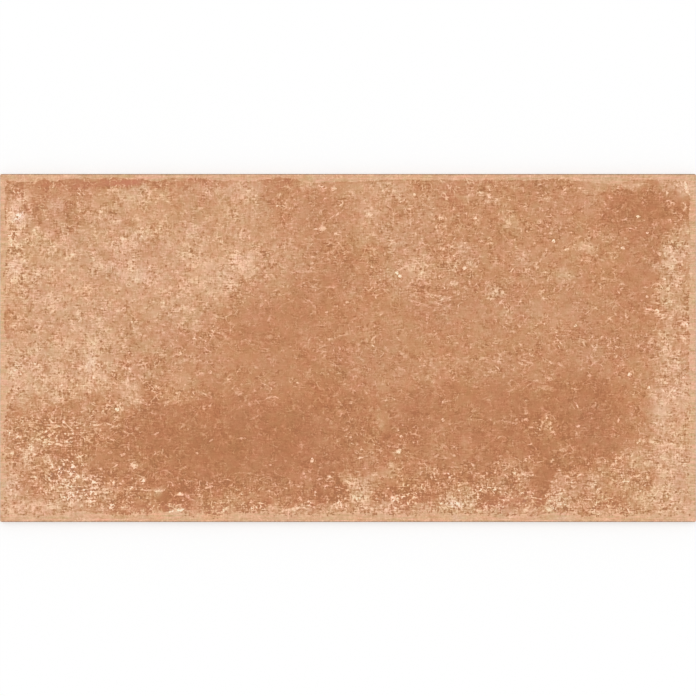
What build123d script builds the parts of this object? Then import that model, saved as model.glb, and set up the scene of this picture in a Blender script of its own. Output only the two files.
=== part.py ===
# Porcelain floor tile, 300 x 600 mm, with the face of worn terracotta.
# The tile is one dry-pressed and fired piece, so it is one solid. Its face is flat and falls away
# a little along all four edges, where the arris is rounded. Its back is keyed for adhesive with
# shallow drafted pockets inside a flat rim, and has a bevel around it.
#
# Frame: the origin is the middle of the back, on the plane that the tile rests on.
# +X runs along the length, +Y across the width, and +Z points out of the face.

import os

from build123d import *

# Overall size, in millimetres
tile_length = 600.0
tile_width = 300.0
tile_thickness = 9.5
corner_radius = 1.5  # of the four upright corners, in plan

# Margin of the face
margin_width = 5.0  # of the sloped strip along each edge
margin_drop = 0.4  # how far that strip falls below the flat of the face
arris_radius = 0.7  # between the sloped strip and the side

# Back
back_bevel = 0.9
key_rim_width = 12.0  # from the tile's edge to the outermost pockets
key_rib_width = 4.0  # between the mouths of two pockets
key_pitch_wanted = 28.0  # the pockets are spread evenly, at about this pitch
key_depth = 0.6
key_corner_radius = 2.5  # of a pocket's mouth
key_draft = 45.0  # lean of a pocket's walls, in degrees from upright


def key_count_and_pitch(side):
    """How many pockets fit along a side between the rims, and how far apart they are."""
    room = side - 2 * key_rim_width + key_rib_width
    count = max(1, round(room / key_pitch_wanted))
    return count, room / count


key_columns, key_pitch_x = key_count_and_pitch(tile_length)
key_rows, key_pitch_y = key_count_and_pitch(tile_width)
side_height = tile_thickness - margin_drop

# One pocket of the back, as the solid that is pressed out of it
with BuildPart() as key_pocket:
    with BuildSketch():
        RectangleRounded(
            key_pitch_x - key_rib_width,
            key_pitch_y - key_rib_width,
            key_corner_radius,
        )
    extrude(amount=key_depth, taper=key_draft)

with BuildPart() as tile:
    # Body, from the bevelled back up to where the sloped margin starts
    with BuildSketch():
        RectangleRounded(tile_length, tile_width, corner_radius)
    extrude(amount=side_height)
    chamfer(tile.edges().group_by(Axis.Z)[0], length=back_bevel)

    # Face, with its sloped margin and rounded arris
    with BuildSketch(Plane.XY.offset(side_height)):
        RectangleRounded(tile_length, tile_width, corner_radius)
    with BuildSketch(Plane.XY.offset(tile_thickness)):
        RectangleRounded(
            tile_length - 2 * margin_width,
            tile_width - 2 * margin_width,
            corner_radius,
        )
    loft()
    arris = tile.edges().filter_by_position(Axis.Z, side_height, side_height)
    fillet(arris, radius=arris_radius)

    # Keyed back
    with GridLocations(key_pitch_x, key_pitch_y, key_columns, key_rows):
        add(key_pocket.part, mode=Mode.SUBTRACT)

tile.part.label = "tile"
os.makedirs("parts", exist_ok=True)
export_step(tile.part, "parts/tile.step")

print("pockets:", key_columns, "by", key_rows)
print("pitch, mm:", round(key_pitch_x, 2), "by", round(key_pitch_y, 2))
print("volume, litres:", round(tile.part.volume / 1e6, 4))
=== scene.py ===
import math

import bpy
import numpy as np
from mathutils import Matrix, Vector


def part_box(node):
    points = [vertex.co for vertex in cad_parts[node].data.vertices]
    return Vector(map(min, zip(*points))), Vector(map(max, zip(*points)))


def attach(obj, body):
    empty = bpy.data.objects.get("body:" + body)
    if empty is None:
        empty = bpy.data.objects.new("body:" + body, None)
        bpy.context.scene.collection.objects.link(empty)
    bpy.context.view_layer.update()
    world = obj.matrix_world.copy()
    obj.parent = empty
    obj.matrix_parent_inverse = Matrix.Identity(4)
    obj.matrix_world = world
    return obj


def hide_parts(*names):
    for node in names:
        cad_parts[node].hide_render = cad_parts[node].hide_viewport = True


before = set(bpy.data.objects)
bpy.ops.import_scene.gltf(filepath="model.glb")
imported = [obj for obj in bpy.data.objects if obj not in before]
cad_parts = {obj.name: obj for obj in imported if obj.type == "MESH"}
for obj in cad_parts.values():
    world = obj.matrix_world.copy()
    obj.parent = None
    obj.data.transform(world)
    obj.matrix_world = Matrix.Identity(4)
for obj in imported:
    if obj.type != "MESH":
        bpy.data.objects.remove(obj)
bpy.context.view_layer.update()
tileLow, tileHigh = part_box("tile")

mm = 0.001  # lengths are written in millimetres, and scaled where they reach Blender
tileLength = (tileHigh.x - tileLow.x) / mm
tileWidth = (tileHigh.y - tileLow.y) / mm
tileThickness = (tileHigh.z - tileLow.z) / mm
print(f"frame: tile {tileLength:.1f} x {tileWidth:.1f} x {tileThickness:.2f} mm")

# In the dictionaries, a ramp is written as the two ends of what it follows, then what it gives
# at each end, if that isn't 0 and 1

# Numbers that vary smoothly over the tile

noiseLift = 1.6  # lifts a noise that has a spread of 1 above 0 nearly everywhere
seeds = {
    "driftX": 11,
    "driftY": 21,
    "mottle": 31,
    "grit": 41,
    "margin": 51,
    "marginSlope": 61,
    "swell": 71,
    "waver": 81,
    "strewn": 7,
}


def softStep(t):
    t = np.clip(t, 0, 1)
    return t * t * (3 - 2 * t)


def hills(x, y, cell, seed):
    # Gradient noise, with a spread of about 1 and hills about two cells apart
    shuffled = np.random.RandomState(seed).permutation(256)
    column = np.floor(x / cell).astype(int)
    row = np.floor(y / cell).astype(int)
    across = x / cell - column
    up = y / cell - row

    def pull(stepX, stepY):
        pick = shuffled[(shuffled[(column + stepX) % 256] + row + stepY) % 256]
        turn = pick * math.tau / 256
        return np.cos(turn) * (across - stepX) + np.sin(turn) * (up - stepY)

    easeX = across**3 * (across * (across * 6 - 15) + 10)
    easeY = up**3 * (up * (up * 6 - 15) + 10)
    low = pull(0, 0) * (1 - easeX) + pull(1, 0) * easeX
    high = pull(0, 1) * (1 - easeX) + pull(1, 1) * easeX
    return (low * (1 - easeY) + high * easeY) * 3.6  # a spread of about 1


def layers(x, y, cell, count, seed, keep=0.6):
    # Several sizes of hills on top of each other, each half the size of the last
    total = 0
    weight = 1.0
    for layer in range(count):
        total = total + hills(x, y, cell / 2**layer, seed + layer) * weight
        weight *= keep
    return total / math.sqrt(sum(keep ** (2 * layer) for layer in range(count)))


def filled(row, usual):
    # A row of seven values, with the usual ones where it leaves out the last one or two
    return row + usual[len(row) - 5:]


def paint(level, patches, x, y):
    # Each patch pulls the level towards its own, and fades out around its rim
    for patch in patches:
        placeX, placeY, halfLong, halfWide, wanted, softness, turn = filled(patch, (0.6, 0))
        cosine = math.cos(math.radians(turn))
        sine = math.sin(math.radians(turn))
        along = ((x - placeX) * cosine + (y - placeY) * sine) / halfLong
        across = ((y - placeY) * cosine - (x - placeX) * sine) / halfWide
        cover = softStep((1 + softness - np.hypot(along, across)) / (2 * softness))
        level = level + (wanted - level) * cover
    return level


# Slab: the shape of the tile, as a grid over the face that goes on down the sides,
# and a coarser grid over the keyed back

slab = {
    "cornerRadius": 1.5,
    "arrisRadius": 0.7,
    "arrisSteps": 5,
    "marginReach": 5.0,  # of the sloped margin, from the edge
    "marginDrop": 0.4,
    "marginCurve": 1.3,
    "marginWander": 0.16,  # share by which the reach of the margin varies
    "marginCell": 32.0,
    "marginStep": 0.05,  # worn step where the margin starts
    "stepPlace": (1.2, 0.35),  # in reaches of the margin: where it starts, and how far it takes
    "insidePlace": (0.15, 1.2),  # the same, for the relief of the face
    "swell": 0.035,  # slow rise and fall of the face
    "swellCell": 70.0,
    "wornDepth": 0.05,  # of the pale, worn clay under the dark, smooth clay
    "wornPaleness": (0.1, 0.4),  # where that starts, and how far it takes
    "cell": 1.9,  # of the grid over the face
    "firstCell": 0.3,
    "cellGrowth": 1.3,
    "sideLevels": [7.4, 6.0, 4.6, 3.2, 1.9, 0.9, 0.35, 0.0],
    "sideWaver": 0.04,
    "waverCell": 24.0,
    "waverTilt": 9.0,
    "backBevel": 0.9,
    "sharpAngle": 30.0,  # edges sharper than this are shaded as edges
}
key = {
    "rimWidth": 12.0,
    "ribWidth": 4.0,
    "pitchWanted": 28.0,
    "depth": 0.6,
    "cornerRadius": 2.5,
    "skirt": 6.0,  # from the edge of the tile to the grid over the back
}

marginSlope = math.atan(slab["marginDrop"] / slab["marginReach"])
arrisEnd = slab["arrisRadius"] * (1 - math.sin(marginSlope))  # inset where the arris meets the margin


def faceLines(side):
    # Insets of the grid's lines from both edges: close together over the arris, then wider.
    # Also how far each line lies along the surface, for the map.
    radius = slab["arrisRadius"]
    angles = np.linspace(0, math.pi / 2 - marginSlope, slab["arrisSteps"] + 1)
    insets = list(radius * (1 - np.cos(angles)))
    lengths = list(radius * angles)
    step = slab["firstCell"]
    while step < slab["cell"]:
        insets.append(insets[-1] + step)
        lengths.append(lengths[-1] + step)
        step *= slab["cellGrowth"]
    inner = side - 2 * insets[-1]
    count = round(inner / slab["cell"])
    middle = np.arange(1, count) * inner / count
    insets, lengths = np.array(insets), np.array(lengths)
    half = side / 2
    places = np.concatenate([insets - half, middle + insets[-1] - half, half - insets[::-1]])
    full = lengths[-1] * 2 + inner
    along = np.concatenate([lengths, middle + lengths[-1], full - lengths[::-1]])
    return places, along


def keyLines(side):
    # Insets of the grid's lines over the back: the mouth, the wall's foot and the corner of each pocket
    room = side - 2 * key["rimWidth"] + key["ribWidth"]
    count = max(1, round(room / key["pitchWanted"]))
    pitch = room / count
    mouth = pitch - key["ribWidth"]
    radius = key["cornerRadius"]
    near = [0, key["depth"] / 2, key["depth"], (key["depth"] + radius) / 2, radius]
    one = near + [mouth / 2] + [mouth - inset for inset in near[::-1]]
    first = key["rimWidth"] - side / 2
    pockets = [first + number * pitch + inset for number in range(count) for inset in one]
    rim = [key["skirt"] - side / 2, (key["skirt"] + key["rimWidth"]) / 2 - side / 2]
    return np.array(rim + pockets + [-place for place in rim[::-1]]), count, pitch, mouth


def roundedCorners(x, y, halfX, halfY, radius):
    # Moves the points of a rectangle's corner squares onto arcs
    overX = (np.abs(x) - (halfX - radius)) / radius
    overY = (np.abs(y) - (halfY - radius)) / radius
    inCorner = (overX > 0) & (overY > 0)
    reach = np.maximum(overX, overY)
    small = np.minimum(overX, overY) / np.where(reach > 0, reach, 1) * math.pi / 4
    turn = np.where(overX >= overY, small, math.pi / 2 - small)
    newX = np.sign(x) * (halfX - radius + radius * reach * np.cos(turn))
    newY = np.sign(y) * (halfY - radius + radius * reach * np.sin(turn))
    return np.where(inCorner, newX, x), np.where(inCorner, newY, y)


def insetFrom(x, y, halfX, halfY, radius):
    # How far a point lies inside a rounded rectangle's outline
    overX = np.abs(x) - (halfX - radius)
    overY = np.abs(y) - (halfY - radius)
    outside = np.hypot(np.maximum(overX, 0), np.maximum(overY, 0))
    return radius - outside - np.minimum(np.maximum(overX, overY), 0)


# Looks that the clay's own shape and colour share: where it is pale and worn, where it is gritty,
# and where bare red clay shows. Places are millimetres from the middle of the face.

face = {
    "middle": 0.25,  # paleness of plain clay: 0 is the darkest brown, 1 is chalk
    "middleGrit": 0.094,
    "gritSwing": 0.18,  # how much the strength of the grain varies everywhere
    "drift": 2.2,  # how far the patches' rims wander
    "driftCell": 14.0,
    "mottle": [(34.0, 0.016), (17.0, 0.020), (8.5, 0.020)],  # size of hills, and their strength
    # x, y, half length, half width, paleness, softness of the rim if not 0.6, turn if not 0
    "patches": [
        # the pale, worn upper left
        (-215, 62, 128, 96, 0.44, 0.3), (-120, 92, 70, 66, 0.42, 0.35, 15), (-250, -18, 75, 34, 0.48, 0.4),
        (-66, 84, 26, 34, 0.34, 0.5), (-175, -22, 34, 20, 0.28, 0.5), (-125, 10, 34, 26, 0.27, 0.6, 20),
        # darker clay inside it
        (-246, 124, 34, 22, 0.29, 0.4), (-238, 121, 7, 22, 0.22), (-266, 122, 8, 20, 0.25),
        (-288, 138, 12, 7, 0.26, 0.5), (-198, 142, 88, 4.5, 0.17, 0.4), (-147, 127, 11, 15, 0.33),
        (-128, 118, 11, 20, 0.36), (-172, 87, 9, 7, 0.31), (-210, 58, 6, 8, 0.35), (-160, 20, 26, 10, 0.33),
        (-182, 15, 18, 19, 0.325), (-293, 22, 5, 14, 0.28, 0.5), (-275, 28, 10, 10, 0.35),
        (-274, 76, 6, 9, 0.32), (-55, 121, 8, 22, 0.23, 0.5), (-66, 131, 9, 7, 0.18, 0.5, -45),
        (-90, 38, 15, 16, 0.265), (-96, 98, 9, 7, 0.36), (-121, 93, 9, 7, 0.34),
        # bright patches of it
        (-286, 113, 7, 10, 0.72, 0.4), (-281, 128, 4, 13, 0.5, 0.6, -20), (-287, 71, 8, 13, 0.62, 0.5),
        (-291, 98, 14, 9, 0.36), (-295, 124, 6, 9, 0.33), (-268, 90, 14, 12, 0.43), (-254, 121, 5, 6, 0.44),
        (-208, 112, 12, 14, 0.42), (-218, 120, 8, 7, 0.42), (-184, 132, 12, 5, 0.48),
        (-178, 106, 13, 5, 0.5, 0.6, 30), (-193, 93, 8, 5, 0.47), (-191, 107, 9, 8, 0.29),
        (-201, 72, 7, 9, 0.37), (-188, 78, 5, 12, 0.45), (-180, 62, 18, 6, 0.54, 0.6, -8),
        (-232, 58, 9, 9, 0.48), (-225, 42, 7, 9, 0.5), (-254, 40, 11, 8, 0.49), (-228, 25, 24, 7, 0.385),
        (-165, 38, 5, 14, 0.49), (-134, 100, 6, 8, 0.5), (-118, 63, 20, 17, 0.51), (-142, 72, 8, 6, 0.47),
        (-163, 58, 8, 5, 0.48), (-139, 52, 6, 8, 0.49), (-137, 32, 6, 12, 0.43), (-133, 20, 9, 8, 0.42),
        (-200, 34, 9, 8, 0.37), (-90, 73, 10, 11, 0.58, 0.5), (-88, 136, 11, 10, 0.48),
        (-100, 114, 11, 7, 0.42), (-228, 12, 20, 7, 0.48), (-255, 16, 9, 7, 0.37),
        (-221, -10, 6, 11, 0.6, 0.5), (-206, -3, 9, 8, 0.36), (-211, -24, 8, 8, 0.58),
        (-236, -10, 8, 11, 0.36), (-188, -33, 8, 7, 0.46), (-192, -48, 12, 6, 0.4), (-246, -25, 7, 7, 0.52),
        (-262, -22, 6, 9, 0.38), (-292, -24, 12, 13, 0.53), (-284, -1, 11, 7, 0.39),
        (-150, -38, 6, 12, 0.34), (-142, -29, 16, 6, 0.41, 0.6, -5), (-183, -21, 18, 5, 0.38),
        (-158, -8, 6, 7, 0.36), (-168, -38, 9, 8, 0.17),
        # the dark, smooth middle
        (-50, 20, 52, 28, 0.2, 0.45, 10), (-78, 8, 18, 13, 0.12, 0.6, -10), (-43, 30, 20, 12, 0.15),
        (-8, 72, 12, 24, 0.21), (-60, -22, 60, 18, 0.21), (-18, -22, 32, 14, 0.17), (-22, 1, 8, 7, 0.17),
        (-15, 54, 11, 8, 0.14), (-55, -8, 9, 12, 0.25),
        # lower left
        (-262, -78, 40, 36, 0.3, 0.4), (-258, -75, 6, 17, 0.19), (-222, -47, 25, 8, 0.22),
        (-271, -41, 8, 7, 0.54), (-266, -49, 9, 7, 0.34), (-248, -40, 8, 7, 0.52), (-231, -38, 7, 7, 0.36),
        (-225, -66, 30, 14, 0.23), (-226, -66, 10, 9, 0.34), (-227, -84, 24, 14, 0.18),
        (-233, -88, 8, 9, 0.07), (-274, -95, 6, 9, 0.47, 0.5), (-268, -79, 7, 5, 0.4),
        (-225, -112, 18, 11, 0.32), (-222, -104, 8, 8, 0.42), (-243, -122, 14, 10, 0.42),
        (-238, -109, 8, 8, 0.24), (-212, -124, 9, 8, 0.44), (-262, -112, 14, 10, 0.29),
        (-290, -126, 16, 18, 0.42, 0.5), (-291, -119, 8, 12, 0.57), (-276, -121, 7, 8, 0.27),
        (-297, -105, 8, 8, 0.34), (-296, -80, 7, 10, 0.42), (-272, -140, 40, 9, 0.53, 0.5),
        (-238, -136, 11, 9, 0.5),
        # the dark pool along the lower half, and what shows through it
        (-94, -82, 112, 40, 0.09, 0.2), (-20, -70, 36, 36, 0.1, 0.35), (-148, -116, 32, 17, 0.09, 0.4),
        (-195, -104, 17, 17, 0.13, 0.5), (-165, -57, 16, 12, 0.08, 0.5), (-110, -82, 22, 24, 0.07),
        (-58, -74, 38, 22, 0.06), (-30, -104, 34, 23, 0.09, 0.4), (-208, -92, 20, 14, 0.17),
        (-194, -90, 15, 10, 0.1), (-183, -101, 6, 5, 0.26), (-98, -42, 40, 8, 0.16),
        (120, -62, 130, 34, 0.125, 0.22), (60, -60, 24, 14, 0.12), (132, -60, 28, 18, 0.11),
        (206, -48, 32, 26, 0.09, 0.5), (190, -82, 34, 14, 0.09), (206, -94, 32, 14, 0.12, 0.4),
        (95, -104, 56, 11, 0.16, 0.5), (29, -62, 6, 10, 0.32), (20, -90, 11, 10, 0.25),
        (38, -90, 11, 11, 0.07), (30, -36, 8, 8, 0.28), (54, -29, 9, 9, 0.28), (22, -9, 8, 9, 0.29),
        (44, -90, 4, 4, 0.29), (80, -72, 10, 9, 0.19), (101, -87, 6, 10, 0.24), (115, -84, 9, 13, 0.05),
        (109, -57, 8, 7, 0.23, 0.5), (147, -34, 15, 5, 0.19), (173, -64, 6, 8, 0.24),
        (187, -88, 5, 4, 0.22), (174, -98, 11, 8, 0.03),
        # the worn strip along the bottom
        (-110, -138, 110, 6, 0.22), (-164, -123, 5, 4, 0.36), (70, -128, 62, 16, 0.27, 0.4),
        (2, -141, 34, 6.5, 0.47, 0.5), (48, -137, 28, 6, 0.44), (-141, -142, 17, 4.5, 0.62, 0.5, 5),
        (-130, -124, 20, 7, 0.03, 0.5), (-150, -131, 13, 8, 0.02), (-176, -127, 9, 7, 0.28),
        (-171, -139, 11, 6, 0.1), (-98, -134, 9, 7, 0.33), (-77, -133, 8, 6, 0.1),
        (-20, -130, 23, 7, 0.02, 0.5), (-35, -117, 10, 8, 0.21), (-16, -113, 9, 8, 0.03),
        (-130, -129, 6, 4, 0.25), (-66, -138, 5, 3, 0.42), (-48, -141, 16, 4, 0.46, 0.5, 8),
        (0, -114, 9, 5, 0.45, 0.6, -25), (23, -108, 6, 3, 0.44, 0.6, 10), (13, -122, 8, 17, 0.51, 0.5, -8),
        (28, -122, 5, 8, 0.2), (11, -106, 8, 7, 0.17), (37, -105, 7, 7, 0.39, 0.5), (68, -112, 16, 8, 0.22),
        (62, -122, 13, 10, 0.21), (52, -127, 13, 8, 0.05), (92, -133, 14, 12, 0.44, 0.5),
        (92, -139, 10, 9, 0.8, 0.5), (97, -122, 6, 7, 0.36), (113, -122, 9, 8, 0.22),
        (120, -135, 10, 10, 0.02), (105, -111, 8, 7, 0.11), (142, -106, 11, 9, 0.3),
        (152, -128, 14, 12, 0.25), (142, -113, 4, 6, 0.1, 0.4), (184, -137, 11, 13, 0.72, 0.5),
        (181, -113, 6, 9, 0.37), (212, -125, 34, 17, 0.33, 0.5), (196, -108, 8, 7, 0.2),
        (168, -118, 6, 16, 0.03, 0.4), (154, -112, 8, 8, 0.33), (242, -113, 14, 8, 0.34, 0.5, 10),
        (254, -114, 8, 10, 0.26), (226, -105, 12, 9, 0.35), (249, -99, 10, 6, 0.42),
        (265, -134, 19, 12, 0.45, 0.5), (232, -141, 9, 8, 0.12), (286, -126, 20, 28, 0.48, 0.4),
        (20, -141, 262, 3.5, 0.37, 0.8),
        # the pale band along the right edge
        (297, 20, 30, 150, 0.43, 0.14), (281, -66, 22, 52, 0.48, 0.25), (288, 15, 6, 40, 0.35),
        (290, 10, 4, 80, 0.35, 0.8), (286, 69, 10, 13, 0.31), (290, 12, 8, 9, 0.32),
        (263, -12, 5, 12, 0.36), (277, -25, 9, 13, 0.37), (254, -75, 12, 10, 0.22), (289, -49, 7, 12, 0.52),
        (278, 80, 6, 9, 0.5, 0.5), (281, 55, 9, 8, 0.45), (271, -52, 6, 9, 0.56, 0.5),
        (283, -83, 10, 6, 0.5), (276, 101, 12, 10, 0.32), (282, 140, 12, 9, 0.46, 0.5),
        (293, 141, 8, 8, 0.55), (252, -92, 11, 6, 0.38, 0.6, 10),
        # the dark pool in the top right corner
        (250, 118, 32, 22, 0.11, 0.4), (262, 114, 9, 14, 0.06), (258, 95, 15, 20, 0.14, 0.5),
        (289, 118, 10, 11, 0.1), (246, 66, 16, 36, 0.19), (258, 36, 12, 12, 0.2, 0.5),
        # paler spots of the upper middle
        (110, 110, 70, 34, 0.27, 0.5), (60, 70, 34, 16, 0.34), (62, 71, 12, 8, 0.42, 0.6, 10),
        (45, 63, 10, 5, 0.39), (98, 86, 7, 7, 0.39), (88, 60, 6, 6, 0.36), (35, 101, 48, 13, 0.32, 0.5),
        (23, 78, 6, 8, 0.36), (30, 99, 8, 8, 0.41), (78, 99, 7, 7, 0.34), (14, 134, 26, 12, 0.36),
        (18, 117, 7, 12, 0.44), (22, 138, 8, 6, 0.42), (42, 138, 10, 9, 0.48), (238, 143, 18, 7, 0.42, 0.5),
        (70, 115, 9, 10, 0.32), (105, 133, 7, 5, 0.39), (122, 131, 8, 6, 0.37), (140, 110, 10, 7, 0.36),
        (125, 50, 8, 6, 0.42), (140, 30, 8, 6, 0.35), (153, 78, 8, 8, 0.39), (166, 80, 9, 7, 0.37),
        (187, 62, 9, 6, 0.43), (206, 88, 6, 6, 0.48, 0.5), (170, 32, 18, 14, 0.31), (195, 24, 8, 9, 0.33),
        (168, 118, 24, 26, 0.24), (206, 126, 9, 14, 0.33), (215, 142, 12, 5, 0.36), (12, 20, 24, 28, 0.22),
        (20, 16, 7, 9, 0.31), (56, 32, 16, 8, 0.21), (45, 48, 11, 6, 0.34), (82, -14, 20, 8, 0.31),
        (80, -26, 34, 6, 0.26), (225, 5, 10, 8, 0.21), (231, -12, 6, 14, 0.17), (178, -20, 11, 5, 0.18),
        (183, 85, 12, 10, 0.33), (145, 60, 28, 5, 0.31, 0.6, 5), (220, 74, 6, 6, 0.33),
        (-36, 140, 7, 6, 0.38),
    ],
    # the same, with the strength of the grain
    "gritPatches": [
        # the worn left half
        (-215, 62, 128, 92, 0.112, 0.4), (-285, 20, 22, 140, 0.132, 0.5), (-290, 92, 16, 38, 0.17, 0.5),
        (-288, 110, 9, 13, 0.25, 0.5), (-220, -18, 60, 30, 0.138, 0.5), (-266, -90, 42, 40, 0.188, 0.4),
        (-270, -80, 28, 10, 0.25, 0.5), (-198, -127, 32, 15, 0.245, 0.5), (-234, -118, 30, 20, 0.33, 0.5),
        (-206, -74, 28, 18, 0.135, 0.5), (-208, -96, 15, 11, 0.065, 0.5), (-274, -138, 26, 10, 0.125, 0.5),
        (-200, -52, 10, 9, 0.2, 0.5), (-176, -127, 9, 7, 0.25, 0.5), (-226, -66, 10, 9, 0.18, 0.5),
        # the smooth pools
        (-60, 22, 52, 26, 0.052, 0.4, 10), (-70, -25, 60, 24, 0.056, 0.5), (-90, -78, 96, 32, 0.058, 0.3),
        (-58, -72, 46, 28, 0.042, 0.5), (-112, -98, 30, 12, 0.044, 0.5), (30, -30, 56, 18, 0.06, 0.5),
        (200, 22, 44, 26, 0.084, 0.5), (-84, 74, 24, 22, 0.135, 0.5), (-15, 54, 13, 10, 0.045, 0.5),
        (20, -82, 26, 26, 0.105, 0.5), (46, -82, 8, 12, 0.14, 0.5), (75, 22, 78, 26, 0.064, 0.5),
        (120, -55, 100, 36, 0.06, 0.4), (125, -46, 24, 20, 0.046, 0.5), (165, -68, 18, 14, 0.12, 0.5),
        (115, -84, 10, 13, 0.045, 0.5), (109, -57, 8, 7, 0.11, 0.5), (215, -66, 36, 28, 0.07, 0.5),
        (196, -22, 24, 18, 0.07, 0.5), (70, 84, 46, 38, 0.132, 0.5), (245, 66, 16, 30, 0.048, 0.5),
        (254, 118, 24, 26, 0.07, 0.5), (260, 115, 11, 13, 0.045, 0.5),
        # small gritty spots of the upper middle
        (116, 130, 17, 7, 0.165, 0.5, -10), (88, 57, 9, 5, 0.155, 0.5), (126, 50, 9, 7, 0.165, 0.5),
        (155, 77, 8, 8, 0.15, 0.5), (139, 111, 10, 6, 0.14, 0.5, 15),
        # the worn strip along the bottom
        (-75, -141, 110, 22, 0.13), (60, -134, 70, 28, 0.188, 0.4), (150, -128, 60, 27, 0.212, 0.4),
        (240, -122, 48, 28, 0.18, 0.5), (168, -112, 7, 15, 0.04, 0.4), (122, -136, 9, 9, 0.11, 0.5),
        (179, -132, 12, 12, 0.26, 0.5), (20, -140, 270, 6, 0.22, 0.7),
        # the right edge
        (282, 20, 16, 76, 0.178, 0.4), (282, -80, 18, 40, 0.142, 0.5), (282, 26, 14, 22, 0.145, 0.5),
        (284, 76, 12, 22, 0.21, 0.5),
    ],
    # the same, with how red the clay is
    "redPatches": [
        (-198, 142.5, 22, 3.2, 1.0, 0.4), (-262, 139, 18, 5, 0.6), (-228, 141, 14, 5, 0.5),
        (-265, 130, 26, 14, 0.3), (-140, 140, 26, 6, 0.35), (-62, 141, 24, 5, 0.35),
        (92, 132, 14, 16, 0.35), (118, 143, 30, 2.5, 0.35, 0.5), (-165, -139, 44, 5, 0.38, 0.5),
        (-110, -140, 14, 5, 0.6, 0.5), (-60, -134, 36, 9, 0.15), (60, -136, 24, 8, 0.3),
        (150, -136, 34, 10, 0.35), (232, -134, 16, 10, 0.25), (-293, 18, 4, 10, 0.5, 0.5),
    ],
}
margin = {
    "reach": {"left": 5.0, "right": 5.6, "bottom": 7.6},  # of the smooth pale band
    # x, reach of the band along the top
    "topReach": [
        (-290, 6.0), (-273, 7.8), (-262, 4.4), (-255, 6.5), (-245, 5.2), (-228, 3.2), (-215, 4.8),
        (-204, 3.4), (-190, 4.2), (-178, 4.4), (-165, 7.0), (-157, 4.6), (-150, 3.4), (-122, 3.6),
        (-110, 6.0), (-88, 6.2), (-72, 5.2), (-60, 3.4), (-45, 4.4), (-35, 7.8), (-10, 6.2), (20, 6.2),
        (40, 5.2), (100, 5.2), (130, 5.6), (145, 5.4), (163, 5.2), (182, 3.8), (200, 6.6), (230, 9.5),
        (247, 4.8), (270, 5.8), (290, 6.6),
    ],
    "wander": (1.0, 0.3),  # along the other edges and along the top
    "wanderCell": 26.0,
    "paleness": 0.515,
    "grain": 0.052,
    "streaks": 0.050,
    "streakSize": (26.0, 1.5),
    "edge": (-0.3, 0.4),
    "fray": (-130.0, 130.0, 0.75, 0.12),  # of its inner rim, from the bottom edge to the top
    "shade": (-1.0, 1.0, 0.0, 0.06),  # painted shade: a thin darker line just inside the band
    "shadeReach": (-2.2, -0.5),
}


def driftedPlaces(x, y):
    awayX, awayY = [layers(x, y, face["driftCell"], 4, seeds[name]) for name in ("driftX", "driftY")]
    return x + awayX * face["drift"], y + awayY * face["drift"]


def claySpread(x, y):
    # Paleness, strength of the grain, and redness at each place
    driftX, driftY = driftedPlaces(x, y)
    pale = paint(np.full_like(x, face["middle"]), face["patches"], driftX, driftY)
    for number, (cell, strength) in enumerate(face["mottle"]):
        pale = pale + hills(x, y, cell, seeds["mottle"] + number) * strength
    grit = paint(np.full_like(x, face["middleGrit"]), face["gritPatches"], driftX, driftY)
    grit = grit * (1 + face["gritSwing"] * layers(x, y, face["driftCell"], 2, seeds["grit"]))
    red = paint(np.zeros_like(x), face["redPatches"], x + (driftX - x) / 3, y + (driftY - y) / 3)
    return pale, grit, red


def marginBand(x, y):
    # How far the pale band reaches in from the nearest edge
    reach = margin["reach"]
    sideways = np.where(x < 0, reach["left"], reach["right"])
    alongTop = np.interp(x, *np.transpose(margin["topReach"]))
    upright = np.where(y < 0, reach["bottom"], alongTop)
    nearSide = tileLength / 2 - np.abs(x) < tileWidth / 2 - np.abs(y)
    wander = layers(x, y, margin["wanderCell"], 2, seeds["margin"])
    return np.where(nearSide, sideways, upright) + np.where(nearSide | (y < 0), *margin["wander"]) * wander


def faceHeight(x, y, inset):
    # Height of the face above the back
    wander = layers(x, y, slab["marginCell"], 2, seeds["marginSlope"])
    share = inset / (slab["marginReach"] * (1 + slab["marginWander"] * wander))
    fall = slab["marginDrop"] * np.clip(1 - share, 0, None) ** slab["marginCurve"]
    start, taken = slab["stepPlace"]
    step = slab["marginStep"] * softStep((start - share) / taken)
    start, taken = slab["wornPaleness"]
    worn = slab["wornDepth"] * softStep((claySpread(x, y)[0] - start) / taken)
    rise = layers(x, y, slab["swellCell"], 3, seeds["swell"])
    swell = slab["swell"] * np.clip(rise + noiseLift, 0, None)
    start, taken = slab["insidePlace"]
    return tileThickness - fall - (step + worn + swell) * softStep((share - start) / taken)


def faceSheet():
    placesX, alongX = faceLines(tileLength)
    placesY, alongY = faceLines(tileWidth)
    x, y = np.meshgrid(placesX, placesY)
    halfX, halfY = tileLength / 2, tileWidth / 2
    x, y = roundedCorners(x, y, halfX, halfY, slab["cornerRadius"])
    inset = insetFrom(x, y, halfX, halfY, slab["cornerRadius"])
    radius = slab["arrisRadius"]
    z = faceHeight(x, y, np.maximum(inset, arrisEnd))
    rise = np.sqrt(np.clip(radius**2 - (radius - np.minimum(inset, arrisEnd)) ** 2, 0, None))
    z = z + rise - radius * math.cos(marginSlope)
    return x, y, z, alongX, alongY


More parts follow.
